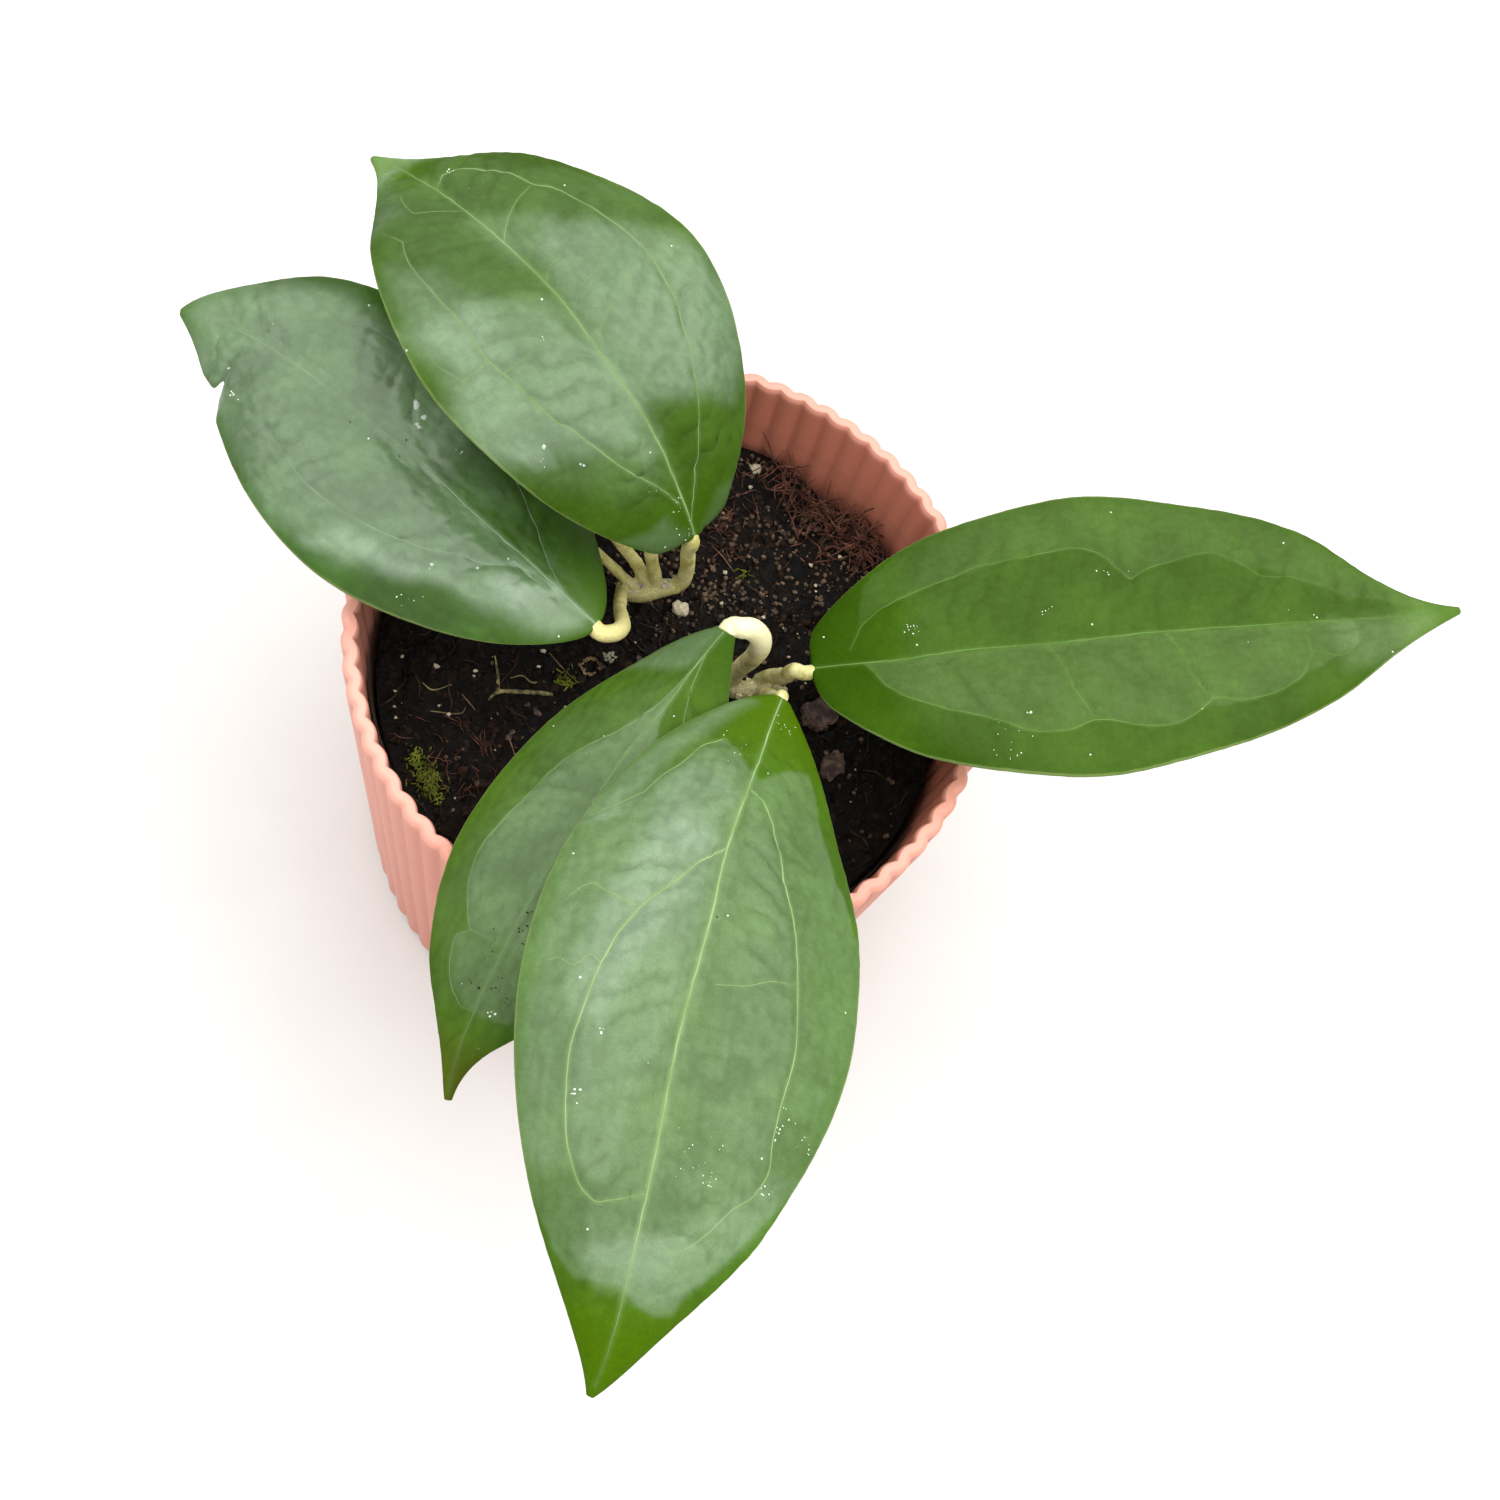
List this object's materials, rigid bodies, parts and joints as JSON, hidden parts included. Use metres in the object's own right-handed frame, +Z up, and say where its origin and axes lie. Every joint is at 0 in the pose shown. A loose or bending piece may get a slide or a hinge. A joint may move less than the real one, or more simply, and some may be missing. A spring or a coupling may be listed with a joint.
{
  "type": "potted hoya vine",
  "caption": "Small hoya vine with broad leathery leaves on short looped petioles, growing in peat soil in a thin nursery pot inside a round fluted pot.",
  "frame": {"origin": "centre of the fluted pot's underside", "axes": "+Z up along the pot's axis, -Y towards the front, where the largest leaf points, and +X to the right, where the long right leaf points"},
  "size_m": [0.2408, 0.2023, 0.1309],
  "materials": {
    "pot": "satin salmon-pink moulded plastic",
    "liner": "thin clear plastic",
    "soil": "moist peat with perlite, bark and fibres",
    "leaf": "leathery, waxy upper face with pale veins",
    "vine": "cream to olive, mealy bark",
    "bark": "weathered bark",
    "perlite": "white crumbly grain",
    "root": "dry pale root"
  },
  "bodies": {
    "root": {"pot": "pot", "nursery_pot": "liner", "soil": "soil", "vine_left": "vine", "vine_right": "vine", "leaf_top": "leaf", "leaf_left": "leaf", "leaf_right": "leaf", "leaf_front_left": "leaf", "leaf_front": "leaf", "bark_chip_back": "bark", "bark_chip_front": "bark", "perlite_lump": "perlite", "perlite_lump_back": "perlite", "dry_root": "root"}
  },
  "joints": []
}
